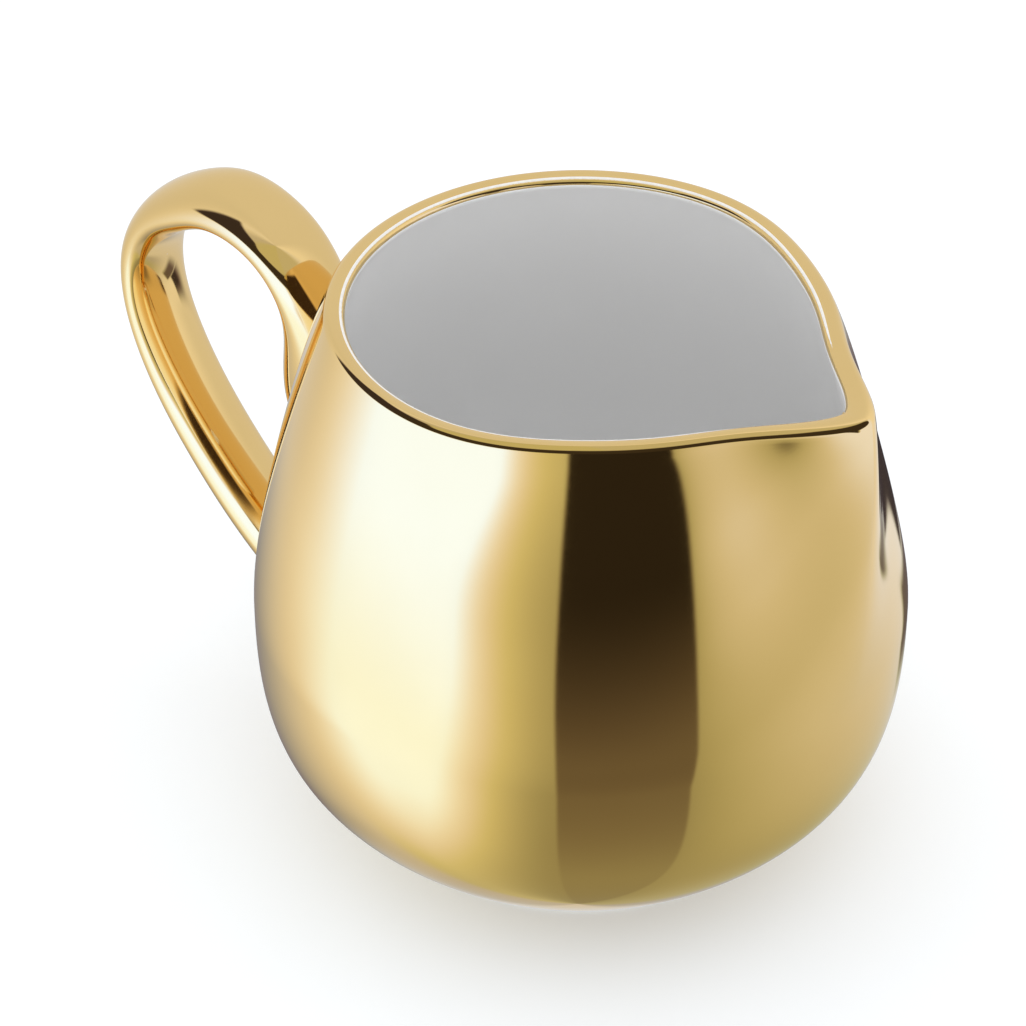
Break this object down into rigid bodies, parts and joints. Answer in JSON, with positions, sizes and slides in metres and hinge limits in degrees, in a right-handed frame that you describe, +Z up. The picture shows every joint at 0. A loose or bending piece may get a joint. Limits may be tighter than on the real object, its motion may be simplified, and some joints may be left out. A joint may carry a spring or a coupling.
{
  "type": "milk frothing pitcher",
  "caption": "Round-bellied gold-plated porcelain milk pitcher with a white glazed inside, a pulled pouring spout and an oval loop handle.",
  "frame": {"origin": "centre of the foot ring, on the surface that the pitcher stands on", "axes": "+Z up, +X towards the pouring spout, handle on -X, symmetric about the XZ plane"},
  "size_m": [0.1291, 0.094, 0.0859],
  "materials": {
    "porcelain": "unglazed, smooth fired",
    "white_glaze": "glossy, with a few dark pinholes",
    "gold_plating": "mirror-polished gold",
    "slip": "fired joining slip"
  },
  "bodies": {
    "root": {"pot_body": "porcelain", "interior_glaze": "white_glaze", "foot_glaze": "white_glaze", "pot_gold_plating": "gold_plating", "handle_core": "porcelain", "upper_handle_slip": "slip", "lower_handle_slip": "slip", "handle_gold_plating": "gold_plating"}
  },
  "joints": []
}
